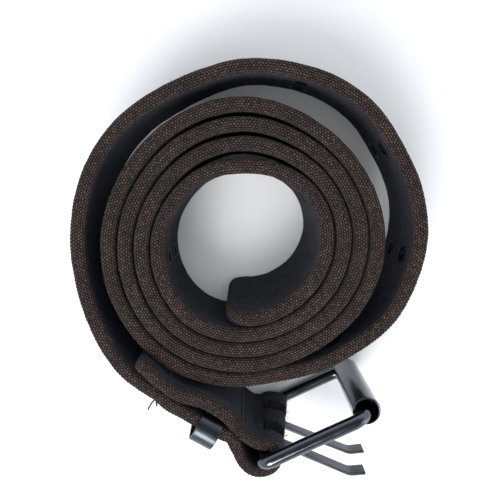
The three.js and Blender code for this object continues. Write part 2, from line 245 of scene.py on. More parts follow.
def addNode(tree, kind, settings=None, sockets=None):
    # a node given as a value is linked by its first output in use
    node = tree.nodes.new(kind)
    for name, value in (settings or {}).items():
        setattr(node, name, value)
    for name, value in (sockets or {}).items():
        if isinstance(value, bpy.types.Node):
            value = next(s for s in value.outputs if s.enabled)
        if isinstance(value, bpy.types.NodeSocket):
            tree.links.new(value, node.inputs[name])
        else:
            node.inputs[name].default_value = value
    return node


def newMaterial(name):
    material = bpy.data.materials.new(name)
    material.use_nodes = True
    material.node_tree.nodes.clear()
    return material, material.node_tree


# sizes of the webbing, with half its thickness in three places; rows are rows of yarns round it
strap = {
    "width": 50.0, "half": 2.78, "sewnHalf": 2.53, "loopHalf": 2.15,
    "sewnLength": 60, "sewnFades": 25, "loopNear": 6, "loopFar": 14, "slackFar": 8,
    "stitchDent": 0.13, "dentReach": 1.5, "swell": 0.22, "swellAfter": 6, "swellReach": 3.5,
    "corner": 1.75, "tipRadius": 12.0, "pitch": 0.65, "faceRows": 48, "faceStep": 6, "edgeRows": 8,
    "relief": 0.2, "edgeWave": 0.45, "thickWave": 0.07, "blunt": 2.4,
}

# woven polyester-cotton webbing: soft-spun yarns, so it is matt with a faint cool sheen
webbingLook = {
    "yarnLength": 1.3, "yarnWidth": 0.95, "crownHeight": 0.4, "wander": 0.34,
    # the gap colour is painted shade down between the yarns
    "gapShade": "#0f0c0c", "yarn": "#3e3330", "litYarn": "#6d5d56", "sheenTint": "#b9c6de", "sheen": 0.06,
    # the face colours carry a painted cool tint for the sky light on the faces, the darker one also painted
    # shade between the yarns
    "faceGapShadeCoolLight": "#171a20", "faceYarnCoolLight": "#4c515c",
}


def makeWebbing():
    look = webbingLook
    material, tree = newMaterial("wovenWebbing")
    place = addNode(tree, "ShaderNodeUVMap", {"uv_map": "weave"})
    # yarns wander a little, by up to about a third of their width
    drift = addNode(tree, "ShaderNodeTexNoise", {"noise_dimensions": "2D"},
                    {"Vector": place, "Scale": 0.8, "Detail": 3.0}).outputs["Color"]
    drift = addNode(tree, "ShaderNodeVectorMath", {"operation": "SUBTRACT"},
                    {0: drift, 1: (0.5, 0.5, 0.5)})
    moved = addNode(tree, "ShaderNodeVectorMath", {"operation": "MULTIPLY_ADD"},
                    {0: drift, 1: (2 * look["wander"],) * 3, 2: place})
    parts = addNode(tree, "ShaderNodeSeparateXYZ", sockets={"Vector": moved}).outputs
    # brick-like order: every second row is shifted by half a yarn
    row = addNode(tree, "ShaderNodeMath", {"operation": "DIVIDE"}, {0: parts["Y"], 1: look["yarnWidth"]})
    rowNumber = addNode(tree, "ShaderNodeMath", {"operation": "ROUND"}, {0: row})
    odd = addNode(tree, "ShaderNodeMath", {"operation": "FLOORED_MODULO"}, {0: rowNumber, 1: 2.0})
    column = addNode(tree, "ShaderNodeMath", {"operation": "DIVIDE"},
                     {0: parts["X"], 1: look["yarnLength"]})
    column = addNode(tree, "ShaderNodeMath", {"operation": "MULTIPLY_ADD"}, {0: odd, 1: 0.5, 2: column})
    columnNumber = addNode(tree, "ShaderNodeMath", {"operation": "ROUND"}, {0: column})
    across = addNode(tree, "ShaderNodeMath", {"operation": "SUBTRACT"}, {0: row, 1: rowNumber})
    along = addNode(tree, "ShaderNodeMath", {"operation": "SUBTRACT"}, {0: column, 1: columnNumber})
    offset = addNode(tree, "ShaderNodeCombineXYZ", sockets={"X": across, "Y": along})
    away = addNode(tree, "ShaderNodeVectorMath", {"operation": "LENGTH"}, {0: offset}).outputs["Value"]
    # rounded top of one yarn: 1 on its crown, 0 between yarns
    crown = addNode(tree, "ShaderNodeMapRange", {"interpolation_type": "SMOOTHERSTEP"},
                    {"Value": away, "From Min": 0.62, "From Max": 0.04, "To Min": 0.0, "To Max": 1.0})
    number = addNode(tree, "ShaderNodeCombineXYZ", sockets={"X": columnNumber, "Y": rowNumber})
    chance = addNode(tree, "ShaderNodeTexWhiteNoise", {"noise_dimensions": "2D"}, {"Vector": number})
    # spun fibres along each yarn, drawn at 0.2 mm where real ones are 0.02 mm
    stretched = addNode(tree, "ShaderNodeVectorMath", {"operation": "MULTIPLY"},
                        {0: place, 1: (1.6, 5.0, 1.0)})
    fibres = addNode(tree, "ShaderNodeTexNoise", {"noise_dimensions": "2D"},
                     {"Vector": stretched, "Scale": 1.0, "Detail": 3.0, "Roughness": 0.65})
    patches = addNode(tree, "ShaderNodeTexNoise", {"noise_dimensions": "2D"},
                      {"Vector": place, "Scale": 0.07, "Detail": 3.0})
    # only some crowns catch the light
    lit = addNode(tree, "ShaderNodeMapRange", sockets={
        "Value": chance, "From Min": 0.0, "From Max": 1.0, "To Min": 0.05, "To Max": 0.85})
    patchy = addNode(tree, "ShaderNodeMath", {"operation": "MULTIPLY_ADD"}, {0: patches, 1: 1.2, 2: 0.25})
    spun = addNode(tree, "ShaderNodeMath", {"operation": "MULTIPLY_ADD"}, {0: fibres, 1: 1.6, 2: 0.1})
    shade = addNode(tree, "ShaderNodeMath", {"operation": "MULTIPLY"}, {0: crown, 1: lit})
    shade = addNode(tree, "ShaderNodeMath", {"operation": "MULTIPLY"}, {0: shade, 1: patchy})
    shade = addNode(tree, "ShaderNodeMath", {"operation": "MULTIPLY", "use_clamp": True},
                    {0: shade, 1: spun})
    # the smooth faces are drawn darker and cooler than the selvedges, which show the yarns' turns: their
    # colours carry a painted cool tint for the sky light on them, and most painted crown highlights are left
    # off
    rounds = float(strap["faceRows"] + strap["edgeRows"])
    turned = addNode(tree, "ShaderNodeMath", {"operation": "FLOORED_MODULO"}, {0: row, 1: rounds})
    low = addNode(tree, "ShaderNodeMapRange", {"interpolation_type": "SMOOTHSTEP"},
                  {"Value": turned, "From Min": 0.5, "From Max": 2.0, "To Min": 0.0, "To Max": 1.0})
    high = addNode(tree, "ShaderNodeMapRange", {"interpolation_type": "SMOOTHSTEP"},
                   {"Value": turned, "From Min": strap["faceRows"] - 2.0,
                    "From Max": strap["faceRows"] - 0.5, "To Min": 1.0, "To Max": 0.0})
    onFace = addNode(tree, "ShaderNodeMath", {"operation": "MULTIPLY"}, {0: low, 1: high})
    # painted shade between the yarns, laid where the crown falls to 0
    gapShade = addNode(tree, "ShaderNodeMix", {"data_type": "RGBA"},
                  {"Factor": onFace, "A": toLinear(look["gapShade"]), "B": toLinear(look["faceGapShadeCoolLight"])})
    # filling yarns lie across the faces in uneven streaks
    drawn = addNode(tree, "ShaderNodeVectorMath", {"operation": "MULTIPLY"},
                    {0: place, 1: (0.16, 0.9, 1.0)})
    streaks = addNode(tree, "ShaderNodeTexNoise", {"noise_dimensions": "2D"},
                      {"Vector": drawn, "Scale": 1.0, "Detail": 3.0, "Roughness": 0.6})
    streaked = addNode(tree, "ShaderNodeMapRange", sockets={
        "Value": streaks, "From Min": 0.3, "From Max": 0.7, "To Min": 0.0, "To Max": 1.0})
    # the streaks mix the two face colours, both with the painted cool tint
    face = addNode(tree, "ShaderNodeMix", {"data_type": "RGBA"},
                   {"Factor": streaked, "A": toLinear(look["faceGapShadeCoolLight"]), "B": toLinear(look["faceYarnCoolLight"])})
    yarn = addNode(tree, "ShaderNodeMix", {"data_type": "RGBA"},
                   {"Factor": onFace, "A": toLinear(look["yarn"]), "B": face})
    # the yarns' colour on their crowns, painted shade between them
    base = addNode(tree, "ShaderNodeMix", {"data_type": "RGBA"}, {"Factor": crown, "A": gapShade, "B": yarn})
    offFace = addNode(tree, "ShaderNodeMath", {"operation": "MULTIPLY_ADD"}, {0: onFace, 1: -0.7, 2: 1.0})
    shade = addNode(tree, "ShaderNodeMath", {"operation": "MULTIPLY"}, {0: shade, 1: offFace})
    colour = addNode(tree, "ShaderNodeMix", {"data_type": "RGBA"},
                     {"Factor": shade, "A": base, "B": toLinear(look["litYarn"])})
    height = addNode(tree, "ShaderNodeMath", {"operation": "MULTIPLY_ADD"}, {0: fibres, 1: 0.35, 2: crown})
    bump = addNode(tree, "ShaderNodeBump", sockets={
        "Height": height, "Distance": look["crownHeight"] * mm, "Strength": 1.0})
    shader = addNode(tree, "ShaderNodeBsdfPrincipled", sockets={
        "Base Color": colour, "Normal": bump, "Roughness": 0.94, "Specular IOR Level": 0.2,
        "Sheen Weight": look["sheen"], "Sheen Roughness": 0.45, "Sheen Tint": toLinear(look["sheenTint"])})
    addNode(tree, "ShaderNodeOutputMaterial", sockets={"Surface": shader})
    return material


# bonded polyester sewing thread, twisted from three plies: a slight shine on each ply
threadLook = {"dark": "#201816", "light": "#3b2f2b", "plyPitch": 1.824}


def makeThread():
    material, tree = newMaterial("twistedThread")
    place = addNode(tree, "ShaderNodeTexCoord").outputs["Object"]
    # a wave of scale 1 repeats after 0.2 pi
    wave = addNode(tree, "ShaderNodeTexWave", {"wave_type": "BANDS", "bands_direction": "DIAGONAL"},
                   {"Vector": place, "Scale": 0.2 * math.pi / (threadLook["plyPitch"] * mm),
                    "Distortion": 0.6, "Detail": 1.0}).outputs["Fac"]
    colour = addNode(tree, "ShaderNodeMix", {"data_type": "RGBA"},
                     {"Factor": wave, "A": toLinear(threadLook["dark"]), "B": toLinear(threadLook["light"])})
    bump = addNode(tree, "ShaderNodeBump", sockets={"Height": wave, "Distance": 0.12 * mm, "Strength": 0.7})
    shader = addNode(tree, "ShaderNodeBsdfPrincipled", sockets={
        "Base Color": colour, "Normal": bump, "Roughness": 0.65, "Sheen Weight": 0.1})
    addNode(tree, "ShaderNodeOutputMaterial", sockets={"Surface": shader})
    return material


# yarn ends where the webbing was cut, painted dark for the shade in the depth of the cut, and single fibres
# pulled loose, which are lighter: both matt, with no shine
fibreLook = {
    "cut": ("cutYarnEndsShade", "#101012", "#26262b"),
    "loose": ("looseYarnFibres", "#2c2523", "#62554f"), "speckle": 0.8,
}


def makeFibre(kind):
    name, dark, light = fibreLook[kind]
    material, tree = newMaterial(name)
    place = addNode(tree, "ShaderNodeTexCoord").outputs["Object"]
    speckle = addNode(tree, "ShaderNodeTexNoise", sockets={
        "Vector": place, "Scale": 1 / (fibreLook["speckle"] * mm), "Detail": 2.0})
    colour = addNode(tree, "ShaderNodeMix", {"data_type": "RGBA"},
                     {"Factor": speckle, "A": toLinear(dark), "B": toLinear(light)})
    bump = addNode(tree, "ShaderNodeBump", sockets={
        "Height": speckle, "Distance": 0.3 * mm, "Strength": 0.8})
    shader = addNode(tree, "ShaderNodeBsdfPrincipled", sockets={
        "Base Color": colour, "Normal": bump, "Roughness": 0.95})
    addNode(tree, "ShaderNodeOutputMaterial", sockets={"Surface": shader})
    return material


# black nickel plate on bent steel: a dark mirror, softened by fine handling marks
nickelLook = {
    "wire": ("blackNickelWire", "#5e6268", 0.12, 0.26),
    "strip": ("blackNickelStrip", "#4a4e54", 0.28, 0.46),
    "sheet": ("blackNickelSheet", "#4d5156", 0.24, 0.4),
    "eyelet": ("blackNickelEyelet", "#1e2024", 0.42, 0.6),
    "cloud": 9.0, "rub": 0.5, "darker": 0.84, "brighter": 1.18,
}


def makeNickel(kind):
    name, tone, polished, worn = nickelLook[kind]
    material, tree = newMaterial(name)
    place = addNode(tree, "ShaderNodeTexCoord").outputs["Object"]
    cloud = addNode(tree, "ShaderNodeTexNoise", sockets={
        "Vector": place, "Scale": 1 / (nickelLook["cloud"] * mm), "Detail": 4.0, "Roughness": 0.6})
    # fine rub marks, drawn at 0.5 mm where real ones are under 0.1 mm
    rubbed = addNode(tree, "ShaderNodeTexNoise", sockets={
        "Vector": place, "Scale": 1 / (nickelLook["rub"] * mm), "Detail": 3.0, "Roughness": 0.7})
    wear = addNode(tree, "ShaderNodeMath", {"operation": "MULTIPLY"}, {0: cloud, 1: rubbed})
    rough = addNode(tree, "ShaderNodeMapRange", sockets={
        "Value": wear, "From Min": 0.15, "From Max": 0.4, "To Min": polished, "To Max": worn})
    dark, bright = ([c * nickelLook[shift] for c in toLinear(tone)[:3]] + [1]
                    for shift in ("darker", "brighter"))
    colour = addNode(tree, "ShaderNodeMix", {"data_type": "RGBA"},
                     {"Factor": cloud, "A": dark, "B": bright})
    bump = addNode(tree, "ShaderNodeBump", sockets={
        "Height": rubbed, "Distance": 0.02 * mm, "Strength": 0.35})
    shader = addNode(tree, "ShaderNodeBsdfPrincipled", sockets={
        "Base Color": colour, "Normal": bump, "Roughness": rough, "Metallic": 1.0})
    addNode(tree, "ShaderNodeOutputMaterial", sockets={"Surface": shader})
    return material


webbing = makeWebbing()
thread = makeThread()
cutEndsShade, looseFibres = makeFibre("cut"), makeFibre("loose")
nickelWire, nickelStrip = makeNickel("wire"), makeNickel("strip")
nickelSheet, nickelEyelet = makeNickel("sheet"), makeNickel("eyelet")
print("materials made")


# where the two stitch rows cross the outer layer
stitchAt = {"end": (-32.8, -60.9), "loop": (-5.0, -77.5)}


def wavy(run, lengths, start):
    # a smooth wandering value from -1 to 1, from waves of these lengths in mm
    waves = [np.sin(run * 2 * math.pi / w + start * (i + 1.7)) for i, w in enumerate(lengths)]
    return sum(waves) / len(waves)


def foldedRunAcross(run):
    # the place on the folded layer straight across from one on the outer layer
    at, t = onLine(run)
    runs = lineRun[lineRun > run + 40]
    away = np.abs((line[lineRun > run + 40] - at) @ t)
    near = away < away.min() + 0.05
    return float(runs[near][0])


rowRuns = {}
for rowName, place in stitchAt.items():
    first = runNear(place, high=neckRun + 1)
    rowRuns[rowName] = (first, foldedRunAcross(first))


def strapShape(run):
    # half thickness, rise off the floor and lean at each place
    run = np.asarray(run, float)
    at, t = onLine(run)
    back = neckRun - run
    ramp = smoothStep(route["rampLength"] - back, 0, route["rampLength"])
    sewn = smoothStep(strap["sewnLength"] - back, 0, strap["sewnFades"])
    fromBar = at - bar
    distance = np.linalg.norm(fromBar, axis=-1)
    nearBar = 1 - smoothStep(distance, strap["loopNear"], strap["loopFar"])
    half = (strap["half"] + (strap["sewnHalf"] - strap["half"]) * sewn
            + (strap["loopHalf"] - strap["sewnHalf"]) * nearBar)
    for pair in rowRuns.values():
        for r in pair:
            half = half * (1 - strap["stitchDent"] * np.exp(-((run - r) / strap["dentReach"]) ** 2))
    swellAt = rowRuns["end"][0] + strap["swellAfter"]
    half = half + strap["swell"] * np.exp(-((run - swellAt) / strap["swellReach"]) ** 2)
    flare = smoothStep(run, *route["flareGrows"]) * (1 - smoothStep(run, *route["flareFades"]))
    lean = route["tailLean"] * np.clip(1 - run / route["leanLength"], 0, 1) - route["flare"] * flare
    degrees = np.degrees(np.arctan2(fromBar[..., 1], fromBar[..., 0]))
    onLoop = (back < 0) * (1 - smoothStep(distance, strap["slackFar"], strap["loopFar"]))
    lean = lean - route["footSlack"] * slackAt(degrees) * onLoop
    return at, t, half, route["buckleRise"] * ramp, lean


def strapSection(half, halfWidth, corner):
    # (across, up, outward across, outward up) round the section, from the bottom of the + side
    corner = min(corner, half * 0.75)
    faceCount, edgeCount = strap["faceRows"] // strap["faceStep"], strap["edgeRows"]
    flat, straight = half - corner, halfWidth - corner
    points = []
    for side in (1, -1):
        for i in range(faceCount):
            points.append((side * half, side * straight * (2 * i / faceCount - 1), side, 0))
        quarter = math.pi / 2 * corner
        total = 2 * quarter + 2 * flat
        for i in range(edgeCount):
            d = total * i / edgeCount
            if quarter <= d < quarter + 2 * flat:
                p = (flat - (d - quarter), halfWidth, 0, 1)
            else:
                first = d < quarter
                a = d / corner if first else math.pi / 2 + (d - quarter - 2 * flat) / corner
                cosine, sine = math.cos(a), math.sin(a)
                middle = flat if first else -flat
                p = (middle + corner * cosine, straight + corner * sine, cosine, sine)
            points.append(tuple(side * v for v in p))
    return np.array(points)


sectionRows = ([float(i) for i in range(0, strap["faceRows"], strap["faceStep"])]
               + [strap["faceRows"] + float(i) for i in range(strap["edgeRows"])])
sectionRows += [r + strap["faceRows"] + strap["edgeRows"] for r in sectionRows]
rowsRound = 2 * (strap["faceRows"] + strap["edgeRows"])


def strapPoint(run, across, up):
    # one point of the strap's inside, across its thickness and up from its middle
    at, t, half, rise, lean = strapShape(run)
    side = np.array([-t[1], t[0]])
    p = at + side * (across + lean * (0.5 - up / strap["width"]))
    return np.array([p[0], p[1], strap["width"] / 2 + rise + up])


def makeStrap():
    # the first few places from each end are closer together, where the ends round off
    roundIn = [0, 0.25, 0.6, 1.05, 1.6, 2.25]
    whole = np.arange(4, int(strapLength / strap["pitch"]) - 4) * strap["pitch"]
    runs = np.array(roundIn + list(whole) + [strapLength - r for r in reversed(roundIn)])
    steps = np.concatenate([np.arange(-2, 4), np.arange(4, 4 + len(whole) + 6)])
    at, t, half, rise, lean = strapShape(runs)
    side = np.stack([-t[:, 1], t[:, 0]], 1)
    ends = np.minimum(runs, strapLength - runs)
    rounded = np.sqrt(np.clip(1 - (1 - ends / strap["blunt"]) ** 2, 0.06, 1))
    blunt = np.where(ends < strap["blunt"], rounded, 1)
    fromTip = np.minimum(runs, strap["tipRadius"])
    r = strap["tipRadius"]
    rounding = r - np.sqrt(r ** 2 - (r - fromTip) ** 2)
    topWave = strap["edgeWave"] * wavy(runs, (61, 38, 23), 0.6)
    lowWave = strap["edgeWave"] * wavy(runs, (54, 33, 19), 2.1)
    thickWave = strap["thickWave"] * wavy(runs, (17, 11, 7), 1.3)
    points = []
    for k in range(len(runs)):
        h = (half[k] + thickWave[k]) * blunt[k]
        section = strapSection(h, strap["width"] / 2 - rounding[k], strap["corner"])
        rows = np.array(sectionRows)
        raised = (steps[k] + rows) % 2 == 0
        onEdge = np.abs(section[:, 3]) > 0.01
        lift = np.where(raised, 1.0, -0.4) * strap["relief"] * onEdge
        lift = lift * (0.35 + 0.65 * np.abs(section[:, 3]))
        lift = lift * (1 + 0.6 * np.array([dice.uniform(-1, 1) for _ in rows])) * blunt[k]
        across = section[:, 0] + lift * section[:, 2]
        up = section[:, 1] + lift * section[:, 3]
        up = up + np.where(up > 0, topWave[k], lowWave[k]) * 2 * np.abs(up) / strap["width"] * blunt[k]
        shift = across + lean[k] * (0.5 - up / strap["width"])
        z = np.maximum(strap["width"] / 2 + rise[k] + up, 0.02)
        x, y = (at[k, i] + side[k, i] * shift for i in (0, 1))
        points.append(np.stack([x, y, z], 1))
    n = len(sectionRows)
    faces = gridFaces(len(runs), n)
    uvs = []
    rowAt = sectionRows + [rowsRound]
    for k in range(len(runs) - 1):
        for j in range(n):
            a, b = rowAt[j] * webbingLook["yarnWidth"], rowAt[j + 1] * webbingLook["yarnWidth"]
            low, high = runs[k], runs[k + 1]
            uvs += [(low, a), (low, b), (high, b), (high, a)]
    last = (len(runs) - 1) * n
    # blunt ends: a strip of quads from side to side
    half = n // 2
    for first, turn in ((0, True), (last, False)):
        for j in range(half - 1):
            quad = (first + j, first + j + 1, first + (n - 2 - j) % n, first + (n - 1 - j) % n)
            faces.append(quad[::-1] if turn else quad)
            uvs += [(0.7 * c, 3.0 + j) for c in range(4)]
    return addObject("strap", np.concatenate(points), faces, webbing, uvs)


strapThing = makeStrap()
print("strap", len(strapThing.data.vertices), "points")


# slots for the prongs, cut round the bar from one angle to the other, and the eyelets in pairs
slots = {"height": 8.0, "ragged": 0.35, "from": -72, "to": 84, "reach": 15.0, "pocket": 4.6}
prongs = {
    "prong_upper": {"body": "upper_prong", "z": 41.75, "angle": -23.8, "reach": 37.7},
    "prong_lower": {"body": "lower_prong", "z": 21.75, "angle": -22.3, "reach": 40.6},
}
eyelets = {
    "tail": [393, 484, 557], "outer": [1750, 1792, 1831, 1869], "row": 10.0,
    "bore": 2.5, "barrel": 3.1, "flange": 4.5, "proud": 0.16,
}


def slotCutter(z):
    # a wedge round the bar with ragged upper and lower sides, and a round pocket for the curl
    points, faces = [], []
    angles = list(range(slots["from"], slots["to"] + 1, 6))
    for a in angles:
        for r in (0.0, 5.0, 9.0, slots["reach"]):
            for side in (1, -1):
                h = slots["height"] / 2 + (dice.uniform(-1, 1) * slots["ragged"] if r > 0 else 0)
                points.append([*(bar + direction(a) * (r + 0.02)), z + side * h])
    for k in range(len(angles) - 1):
        a, b = 8 * k, 8 * (k + 1)
        for j in (0, 2, 4):
            faces.append((a + j, a + j + 2, b + j + 2, b + j))
            faces.append((a + j + 1, b + j + 1, b + j + 3, a + j + 3))
        faces.append((a + 6, a + 7, b + 7, b + 6))
        faces.append((a, b, b + 1, a + 1))
    for a, turn in ((0, False), (8 * (len(angles) - 1), True)):
        for j in (0, 2, 4):
            quad = (a + j, a + j + 1, a + j + 3, a + j + 2)
            faces.append(quad[::-1] if turn else quad)
    wedge = (points, faces)
    ring = [[*(bar + direction(a) * slots["pocket"]), z + s * slots["height"] / 2]
            for a in range(0, 360, 12) for s in (-1, 1)]
    n = len(ring)
    sides = [(i, (i + 2) % n, (i + 3) % n, i + 1) for i in range(0, n, 2)]
    sides += [tuple(range(0, n, 2))[::-1], tuple(range(1, n, 2))]
    return [wedge, (ring, sides)]


def eyeletPlaces():
    places = []
    for run in ("tail", "outer"):
        for k, degrees in enumerate(eyelets[run]):
            station = runNear(coilPoint(degrees))
            for row, side in (("upper", 1), ("lower", -1)):
                places.append((f"eyelet_{run}_{k + 1}_{row}", station, side * eyelets["row"]))
    return places


def eyeletFrame(station, up):
    # the eyelet's middle on the strap, its axis through the strap and the strap's own direction
    at, t = onLine(station)
    middle = strapPoint(station, 0, up)
    below, above = strapPoint(station, 0, up - 4), strapPoint(station, 0, up + 4)
    rising = (above - below) / np.linalg.norm(above - below)
    ahead3 = np.array([t[0], t[1], 0])
    axis = np.cross(rising, ahead3)
    return middle, axis / np.linalg.norm(axis), ahead3, rising


def lathe(profile, middle, axis, ahead3, rising, sides=32, closed=True):
    points = []
    for r, d in profile:
        for j in range(sides):
            a = 2 * math.pi * j / sides
            points.append(middle + axis * d + r * (math.cos(a) * ahead3 + math.sin(a) * rising))
    faces = gridFaces(len(profile), sides, closed)
    if not closed:
        faces += [tuple(range(sides))[::-1], tuple((len(profile) - 1) * sides + j for j in range(sides))]
    return points, faces


def cutStrap():
    shapes = []
    for place in prongs.values():
        shapes += slotCutter(place["z"])
    for name, station, up in eyeletPlaces():
        profile = [(eyelets["barrel"] - 0.1, -4.2), (eyelets["barrel"] - 0.1, 4.2)]
        shapes.append(lathe(profile, *eyeletFrame(station, up), sides=20, closed=False))
    # the slot and eyelet walls take the cut ends' colour, painted shade for the depth of the cuts
    strapThing.data.materials.append(cutEndsShade)
    for k, (points, faces) in enumerate(shapes):
        cutter = addObject(f"cutter{k}", points, faces, webbing, smooth=False)
        cutter.data.materials.append(cutEndsShade)
        cutter.data.polygons.foreach_set("material_index", [1] * len(cutter.data.polygons))
        layer = bpy.context.view_layer
        layer.objects.active = cutter
        bpy.ops.object.select_all(action="DESELECT")
        cutter.select_set(True)
        bpy.ops.object.mode_set(mode="EDIT")
        bpy.ops.mesh.select_all(action="SELECT")
        bpy.ops.mesh.normals_make_consistent(inside=False)
        bpy.ops.object.mode_set(mode="OBJECT")
        layer.objects.active = strapThing
        modifier = strapThing.modifiers.new("cut", "BOOLEAN")
        modifier.object = cutter
        modifier.operation = "DIFFERENCE"
        modifier.solver = "MANIFOLD"
        bpy.ops.object.modifier_apply(modifier="cut")
        bpy.data.objects.remove(cutter)


cutStrap()
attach(strapThing, "strap")
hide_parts("strap")
print("strap cut,", len(strapThing.data.vertices), "points,", len(strapThing.data.polygons), "faces")


def makeEyelets():
    # thin pressed tubes with rolled rims
    h = strap["half"] + eyelets["proud"]
    bore, barrel, flange = eyelets["bore"], eyelets["barrel"], eyelets["flange"]
    # one side of the rolled rim, from the bore out and under
    rim = [(bore, h - 0.9), (bore + 0.06, h - 0.45), (bore + 0.3, h - 0.1), (bore + 0.75, h),
           (flange - 0.5, h - 0.04), (flange - 0.14, h - 0.14), (flange, h - 0.34),
           (flange - 0.1, h - 0.5), (barrel + 0.05, h - 0.5)]
    profile = rim + [(r, -d) for r, d in reversed(rim)]
    for name, station, up in eyeletPlaces():
        points, faces = lathe(profile, *eyeletFrame(station, up))
        thing = addObject(name, points, [f[::-1] for f in faces], nickelEyelet)
        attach(thing, "strap")
        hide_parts(name)


makeEyelets()
print("eyelets made")


# two rows of stitches, each through both layers of the strap
sewing = {"stitch": 3.0, "height": 42.0, "radius": 0.36, "dip": 0.6}


def makeStitches():
    for name, (outerRun, foldedRun) in rowRuns.items():
        at, t, half, rise, lean = strapShape(outerRun)
        side = np.array([-t[1], t[0]])
        folded, _, foldedHalf, _, _ = strapShape(foldedRun)
        reach = float((folded - at) @ side)
        z0 = strap["width"] / 2 + float(rise)
        paths = []
        for face, sign in ((-float(half), -1), (reach + float(foldedHalf), 1)):
            path = []
            for z in np.arange(-sewing["height"] / 2, sewing["height"] / 2 + 0.01, 0.25):
                out = abs(math.sin(math.pi * (z + sewing["height"] / 2) / sewing["stitch"])) ** 0.6
                depth = face + sign * (sewing["radius"] * 0.5 - sewing["dip"] * (1 - out))
                sway = 0.12 * math.sin(z * 1.9)
                path.append([*(at + side * depth + t * sway), z0 + z])
            paths.append((path, sewing["radius"]))
        thing = manyTubes("stitch_row_" + name, paths, thread, sides=8)
        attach(thing, "strap")
        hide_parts("stitch_row_" + name)


def curl(start, heading, length, bend, droop=0.0, steps=9):
    # a short loose thread or fibre that wanders off in a direction
    at, way = np.array(start, float), np.array(heading, float)
    way /= np.linalg.norm(way)
    path = [at.copy()]
    for _ in range(steps):
        way = way + np.array([dice.uniform(-bend, bend) for _ in range(3)]) - [0, 0, droop]
        way /= np.linalg.norm(way)
        at = at + way * length / steps
        path.append(at.copy())
    return path


# fibres at the slots, tufts at the neck, fuzz on the selvedges and the sewing thread's tails
fray = {
    "slotFibres": 46, "slotLength": (1.0, 2.4), "slotAngle": 40, "splay": 25,
    "tufts": 18, "tuftLength": (0.8, 2.0), "fibre": 0.09,
    "selvedge": 2200, "selvedgeLength": (0.5, 1.3), "fuzz": 0.054, "offFloor": 5,
    "tail": 6.0, "tailRadius": 0.3,
}


def makeFray():
    paths = []
    for place in prongs.values():
        for _ in range(fray["slotFibres"]):
            a, side = dice.uniform(-fray["slotAngle"], fray["slotAngle"]), dice.choice((-1, 1))
            up = place["z"] - buckle["middle"] + side * slots["height"] / 2
            foot = route["footSlack"] * slackAt(a) * (0.5 - up / strap["width"])
            r = route["loopRadius"] + route["slack"] * slackAt(a) + foot + dice.uniform(0.2, 2.2)
            out = direction(a + dice.uniform(-fray["splay"], fray["splay"])) * dice.uniform(0.6, 1.2)
            start = [*(bar + direction(a) * r), place["z"] + side * slots["height"] / 2]
            paths.append((curl(start, [*out, -side * dice.uniform(0.1, 0.7)],
                               dice.uniform(*fray["slotLength"]), 0.35), fray["fibre"]))
    for _ in range(fray["tufts"]):
        run = neckRun + dice.uniform(-2, 5)
        start = strapPoint(run, dice.uniform(-0.5, 2.6), strap["width"] / 2 - dice.uniform(0, 0.6))
        heading = [dice.uniform(-0.6, 1), dice.uniform(-0.2, 1), dice.uniform(0.1, 0.6)]
        paths.append((curl(start, heading, dice.uniform(*fray["tuftLength"]), 0.5), fray["fibre"]))
    thing = manyTubes("fray_buckle_end", paths, looseFibres, sides=4)
    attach(thing, "strap")

    paths = []
    for _ in range(fray["selvedge"]):
        run = dice.uniform(3, strapLength - 3)
        start = strapPoint(run, dice.uniform(-1, 1) * 2.0, dice.choice((-1, 1)) * strap["width"] / 2)
        if start[2] < fray["offFloor"]:
            continue
        heading = [dice.uniform(-1, 1), dice.uniform(-1, 1), dice.uniform(0, 0.8)]
        paths.append((curl(start, heading, dice.uniform(*fray["selvedgeLength"]), 0.5, steps=3),
                      fray["fuzz"]))
    thing = manyTubes("fuzz_selvedge", paths, looseFibres, sides=3)
    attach(thing, "strap")

    outerRun = rowRuns["end"][0]
    at, t, half, rise, _ = strapShape(outerRun)
    side = np.array([-t[1], t[0]])
    z = strap["width"] / 2 + float(rise) + sewing["height"] / 2
    start = [*(at - side * float(half)), z]
    paths = [(curl(start, [*(-side), 0.25], fray["tail"], 0.28), fray["tailRadius"]),
             (curl(start, [*(-side + 0.7 * t), -0.1], fray["tail"] * 0.6, 0.3), fray["tailRadius"])]
    thing = manyTubes("thread_tail", paths, thread, sides=6)
    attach(thing, "strap")


makeStitches()
print("stitches made")


# the wire frame is drawn from its bar towards the roller
buckle = {
    "angle": rollerPlace["frameAngle"], "middle": 31.75, "length": 43.6, "halfHeight": 29.05,
    "wire": 2.7, "barBend": 4.2, "rollerBend": 6.0,
    "roller": 5.4, "rollerWall": 0.8, "rollerLength": 50.6,
}


def finishMetal(thing, body, node, sharp=None):
    if sharp:
        thing.data.set_sharp_from_angle(angle=math.radians(sharp))
    thing.modifiers.new("evenShading", "WEIGHTED_NORMAL").keep_sharp = True
    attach(thing, body)
    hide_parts(node)


def makeFrame():
    h, length = buckle["halfHeight"], buckle["length"]
    q, r = buckle["barBend"], buckle["rollerBend"]
    # bend middles, each with its radius and first angle, and where the next bend begins
    bends = (((length - r, h - r), r, 0, (q, h)), ((q, h - q), q, 90, (0, q - h)),
             ((q, q - h), q, 180, (length - r, -h)), ((length - r, r - h), r, 270, (length, h - r)))
    path = []
    for (cx, cz), bend, start, (nx, nz) in bends:
        for k in range(13):
            a = math.radians(start + k * 7.5)
            path.append((cx + bend * math.cos(a), 0.0, cz + bend * math.sin(a)))
        # a few places along the straight, bowed out a hair as bent wire is
        ex, _, ez = path[-1]
        for k in range(1, 8):
            f = k / 8
            bow = 0.12 * math.sin(math.pi * f)
            path.append((ex + (nx - ex) * f, bow, ez + (nz - ez) * f))
    points, faces = tube(path, buckle["wire"], sides=28, closed=True)
    points = placed(points, buckle["angle"], *bar, buckle["middle"])
    thing = addObject("buckle_frame", points, faces, nickelWire)
    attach(thing, "frame")
    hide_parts("buckle_frame")


